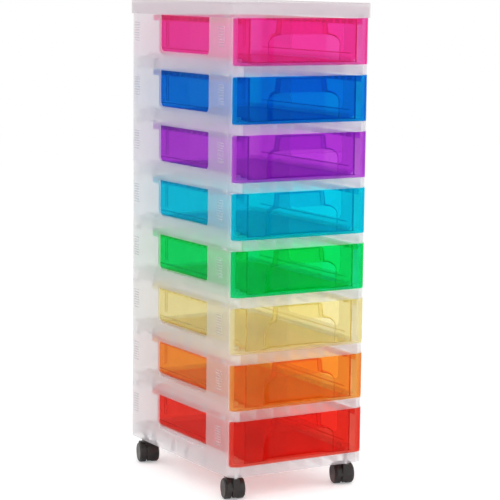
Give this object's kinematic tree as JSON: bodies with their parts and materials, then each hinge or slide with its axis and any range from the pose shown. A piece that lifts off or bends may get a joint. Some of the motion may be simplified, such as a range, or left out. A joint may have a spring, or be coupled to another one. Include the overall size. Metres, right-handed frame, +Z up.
{
  "type": "drawer tower",
  "caption": "Tall narrow tower of stacked frames with see-through coloured pull-out drawers, open side windows, finger pockets, a flat lid and twin-wheel swivel castors.",
  "frame": {"origin": "middle of the footprint on the floor, under the castor wheels", "axes": "+Z up, the drawers open towards -Y, +X to the right of someone who looks at the drawer fronts from behind the tower's front plane along +Y"},
  "size_m": [0.3038, 0.42, 0.935],
  "materials": {
    "frame_white": "translucent white polypropylene, satin",
    "tint_pink": "see-through pink plastic, gloss",
    "tint_blue": "see-through blue plastic, gloss",
    "tint_purple": "see-through purple plastic, gloss",
    "tint_teal": "see-through teal plastic, gloss",
    "tint_green": "see-through green plastic, gloss",
    "tint_yellow": "see-through yellow plastic, gloss",
    "tint_orange": "see-through orange plastic, gloss",
    "tint_red": "see-through red plastic, gloss",
    "castor_black": "black-brown moulded nylon, slight gloss",
    "steel": "bright zinc-plated steel"
  },
  "bodies": {
    "tower": {"top_lid": "frame_white", "frame_1": "frame_white", "frame_2": "frame_white", "frame_3": "frame_white", "frame_4": "frame_white", "frame_5": "frame_white", "frame_6": "frame_white", "frame_7": "frame_white", "frame_8": "frame_white", "castor_stem_front_left": "steel", "castor_stem_front_right": "steel", "castor_stem_rear_left": "steel", "castor_stem_rear_right": "steel"},
    "drawer_pink": {"drawer_pink": "tint_pink"},
    "drawer_blue": {"drawer_blue": "tint_blue"},
    "drawer_purple": {"drawer_purple": "tint_purple"},
    "drawer_teal": {"drawer_teal": "tint_teal"},
    "drawer_green": {"drawer_green": "tint_green"},
    "drawer_yellow": {"drawer_yellow": "tint_yellow"},
    "drawer_orange": {"drawer_orange": "tint_orange"},
    "drawer_red": {"drawer_red": "tint_red"},
    "castor_front_left": {"castor_hood_front_left": "castor_black", "castor_axle_front_left": "steel"},
    "wheel_front_left_left": {"castor_wheel_front_left_left": "castor_black"},
    "wheel_front_left_right": {"castor_wheel_front_left_right": "castor_black"},
    "castor_front_right": {"castor_hood_front_right": "castor_black", "castor_axle_front_right": "steel"},
    "wheel_front_right_left": {"castor_wheel_front_right_left": "castor_black"},
    "wheel_front_right_right": {"castor_wheel_front_right_right": "castor_black"},
    "castor_rear_left": {"castor_hood_rear_left": "castor_black", "castor_axle_rear_left": "steel"},
    "wheel_rear_left_left": {"castor_wheel_rear_left_left": "castor_black"},
    "wheel_rear_left_right": {"castor_wheel_rear_left_right": "castor_black"},
    "castor_rear_right": {"castor_hood_rear_right": "castor_black", "castor_axle_rear_right": "steel"},
    "wheel_rear_right_left": {"castor_wheel_rear_right_left": "castor_black"},
    "wheel_rear_right_right": {"castor_wheel_rear_right_right": "castor_black"}
  },
  "joints": [
    {"name": "pink_drawer_slide", "type": "slide", "parent": "tower", "child": "drawer_pink", "axis": [0, -1, 0], "range_m": [0, 0.3]},
    {"name": "blue_drawer_slide", "type": "slide", "parent": "tower", "child": "drawer_blue", "axis": [0, -1, 0], "range_m": [0, 0.3]},
    {"name": "purple_drawer_slide", "type": "slide", "parent": "tower", "child": "drawer_purple", "axis": [0, -1, 0], "range_m": [0, 0.3]},
    {"name": "teal_drawer_slide", "type": "slide", "parent": "tower", "child": "drawer_teal", "axis": [0, -1, 0], "range_m": [0, 0.3]},
    {"name": "green_drawer_slide", "type": "slide", "parent": "tower", "child": "drawer_green", "axis": [0, -1, 0], "range_m": [0, 0.3]},
    {"name": "yellow_drawer_slide", "type": "slide", "parent": "tower", "child": "drawer_yellow", "axis": [0, -1, 0], "range_m": [0, 0.3]},
    {"name": "orange_drawer_slide", "type": "slide", "parent": "tower", "child": "drawer_orange", "axis": [0, -1, 0], "range_m": [0, 0.3]},
    {"name": "red_drawer_slide", "type": "slide", "parent": "tower", "child": "drawer_red", "axis": [0, -1, 0], "range_m": [0, 0.3]},
    {"name": "castor_front_left_swivel", "type": "hinge", "parent": "tower", "child": "castor_front_left", "pos_m": [-0.1233, -0.185, 0.03], "axis": [0, 0, 1], "continuous": true},
    {"name": "wheel_front_left_left_roll", "type": "hinge", "parent": "castor_front_left", "child": "wheel_front_left_left", "pos_m": [-0.11834, -0.16511, 0.02], "axis": [0.9703, -0.2419, 0], "continuous": true},
    {"name": "wheel_front_left_right_roll", "type": "hinge", "parent": "castor_front_left", "child": "wheel_front_left_right", "pos_m": [-0.11834, -0.16511, 0.02], "axis": [0.9703, -0.2419, 0], "continuous": true},
    {"name": "castor_front_right_swivel", "type": "hinge", "parent": "tower", "child": "castor_front_right", "pos_m": [0.1233, -0.185, 0.03], "axis": [0, 0, 1], "continuous": true},
    {"name": "wheel_front_right_left_roll", "type": "hinge", "parent": "castor_front_right", "child": "wheel_front_right_left", "pos_m": [0.12826, -0.16511, 0.02], "axis": [0.9703, -0.2419, 0], "continuous": true},
    {"name": "wheel_front_right_right_roll", "type": "hinge", "parent": "castor_front_right", "child": "wheel_front_right_right", "pos_m": [0.12826, -0.16511, 0.02], "axis": [0.9703, -0.2419, 0], "continuous": true},
    {"name": "castor_rear_left_swivel", "type": "hinge", "parent": "tower", "child": "castor_rear_left", "pos_m": [-0.1233, 0.185, 0.03], "axis": [0, 0, 1], "continuous": true},
    {"name": "wheel_rear_left_left_roll", "type": "hinge", "parent": "castor_rear_left", "child": "wheel_rear_left_left", "pos_m": [-0.12826, 0.16511, 0.02], "axis": [0.9703, -0.2419, 0], "continuous": true},
    {"name": "wheel_rear_left_right_roll", "type": "hinge", "parent": "castor_rear_left", "child": "wheel_rear_left_right", "pos_m": [-0.12826, 0.16511, 0.02], "axis": [0.9703, -0.2419, 0], "continuous": true},
    {"name": "castor_rear_right_swivel", "type": "hinge", "parent": "tower", "child": "castor_rear_right", "pos_m": [0.1233, 0.185, 0.03], "axis": [0, 0, 1], "continuous": true},
    {"name": "wheel_rear_right_left_roll", "type": "hinge", "parent": "castor_rear_right", "child": "wheel_rear_right_left", "pos_m": [0.11834, 0.16511, 0.02], "axis": [0.9703, -0.2419, 0], "continuous": true},
    {"name": "wheel_rear_right_right_roll", "type": "hinge", "parent": "castor_rear_right", "child": "wheel_rear_right_right", "pos_m": [0.11834, 0.16511, 0.02], "axis": [0.9703, -0.2419, 0], "continuous": true}
  ]
}
